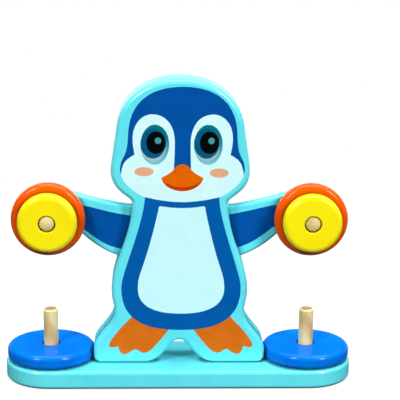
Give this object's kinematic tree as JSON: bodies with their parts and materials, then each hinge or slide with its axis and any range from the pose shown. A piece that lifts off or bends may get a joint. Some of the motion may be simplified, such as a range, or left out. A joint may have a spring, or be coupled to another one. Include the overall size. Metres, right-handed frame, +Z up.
{
  "type": "wooden penguin balance game",
  "caption": "Standing wooden penguin on a round-ended base board, with a tilting arm beam in its open body, rings hanging on hand pegs and rings lying on standing pegs.",
  "frame": {"origin": "middle of the base board's underside, on the table", "axes": "+X along the base board to the viewer's right, +Y from the printed front to the back, +Z up"},
  "size_m": [0.24, 0.062, 0.2105],
  "materials": {
    "cyan_lacquer": "gloss cyan lacquer, sprayed over sanded board",
    "blue_lacquer": "gloss blue lacquer",
    "orange_lacquer": "gloss orange lacquer",
    "yellow_lacquer": "gloss yellow lacquer",
    "bare_wood": "bare sanded dowel",
    "zinc_screw": "zinc plated"
  },
  "bodies": {
    "stand": {"base_board": "cyan_lacquer", "front_panel": "cyan_lacquer", "back_panel": "cyan_lacquer", "crown_spacer": "cyan_lacquer", "left_leg_spacer": "cyan_lacquer", "right_leg_spacer": "cyan_lacquer", "left_crown_dowel": "bare_wood", "right_crown_dowel": "bare_wood", "left_leg_dowel": "bare_wood", "right_leg_dowel": "bare_wood", "left_outer_screw": "zinc_screw", "left_inner_screw": "zinc_screw", "right_inner_screw": "zinc_screw", "right_outer_screw": "zinc_screw", "pivot_dowel": "bare_wood", "left_base_peg": "bare_wood", "right_base_peg": "bare_wood"},
    "arms": {"arm_beam": "cyan_lacquer", "left_hand_peg": "bare_wood", "right_hand_peg": "bare_wood"},
    "left_orange": {"left_orange_ring": "orange_lacquer"},
    "right_orange": {"right_orange_ring": "orange_lacquer"},
    "left_yellow": {"left_yellow_ring": "yellow_lacquer"},
    "right_yellow": {"right_yellow_ring": "yellow_lacquer"},
    "left_blue": {"left_blue_ring": "blue_lacquer"},
    "right_blue": {"right_blue_ring": "blue_lacquer"}
  },
  "joints": [
    {"name": "arm_tilt", "type": "hinge", "parent": "stand", "child": "arms", "pos_m": [0, 0, 0.121], "axis": [0, 1, 0], "range_deg": [-18, 18]},
    {"name": "left_orange_pull", "type": "slide", "parent": "arms", "child": "left_orange", "axis": [0, -1, 0], "range_m": [0, 0.02]},
    {"name": "right_orange_pull", "type": "slide", "parent": "arms", "child": "right_orange", "axis": [0, -1, 0], "range_m": [0, 0.02]},
    {"name": "left_yellow_pull", "type": "slide", "parent": "left_orange", "child": "left_yellow", "axis": [0, -1, 0], "range_m": [0, 0.012]},
    {"name": "right_yellow_pull", "type": "slide", "parent": "right_orange", "child": "right_yellow", "axis": [0, -1, 0], "range_m": [0, 0.012]},
    {"name": "left_blue_lift", "type": "slide", "parent": "stand", "child": "left_blue", "axis": [0, 0, 1], "range_m": [0, 0.036]},
    {"name": "right_blue_lift", "type": "slide", "parent": "stand", "child": "right_blue", "axis": [0, 0, 1], "range_m": [0, 0.036]}
  ]
}
